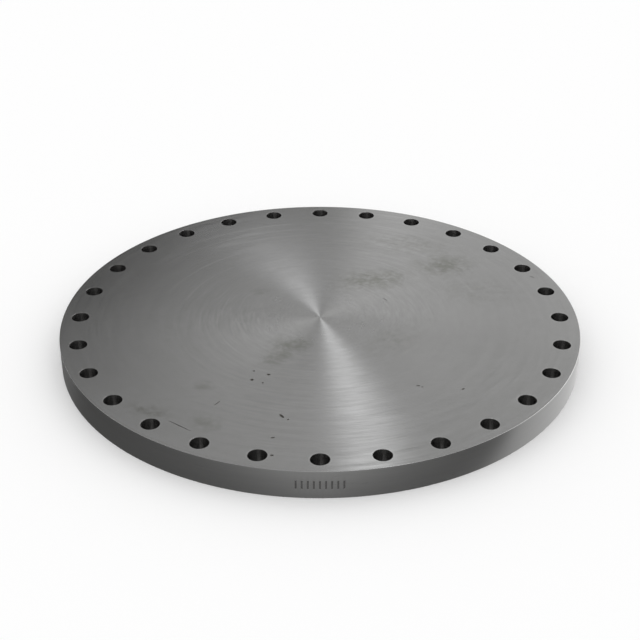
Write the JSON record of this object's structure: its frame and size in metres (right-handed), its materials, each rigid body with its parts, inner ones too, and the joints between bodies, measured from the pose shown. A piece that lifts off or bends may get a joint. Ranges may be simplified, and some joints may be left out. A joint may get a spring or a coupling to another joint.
{
  "type": "blind flange",
  "caption": "Flat round steel blind flange in plate form, with a ring of through bolt holes near its rim, that bolts to a pipe or nozzle flange and closes it.",
  "frame": {"origin": "centre of the lower, seating face", "axes": "+Z is the plate's axis, from the seating face to the outer face; bolt holes lie on the X and Y axes, and the rim's engraved mark is at -Y"},
  "size_m": [1.255, 1.255, 0.068],
  "materials": {
    "machined_steel": "bare steel, faced on a lathe with fine concentric tool lines, with handling stains and scratches"
  },
  "bodies": {
    "root": {"flange_plate": "machined_steel"}
  },
  "joints": []
}
